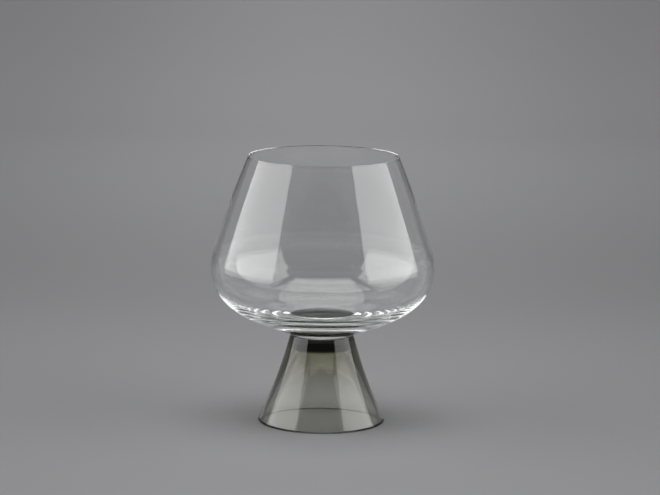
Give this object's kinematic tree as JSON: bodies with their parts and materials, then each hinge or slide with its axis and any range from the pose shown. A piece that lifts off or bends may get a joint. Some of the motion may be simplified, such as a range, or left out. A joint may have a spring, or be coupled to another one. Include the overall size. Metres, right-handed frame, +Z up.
{
  "type": "brandy snifter",
  "caption": "Low brandy snifter with a wide clear bowl, a thick clear base and a hollow smoke-grey glass cone as its foot.",
  "frame": {"origin": "centre of the circle that the foot stands on", "axes": "+Z up along the glass's axis of revolution; X and Y are level, and the glass looks the same from every side"},
  "size_m": [0.1004, 0.1004, 0.12],
  "materials": {
    "clear_glass": "polished clear glass",
    "clear_adhesive": "clear cured adhesive",
    "smoke_glass": "polished smoke-grey glass"
  },
  "bodies": {
    "root": {"bowl": "clear_glass", "adhesive_film": "clear_adhesive", "foot": "smoke_glass"}
  },
  "joints": []
}
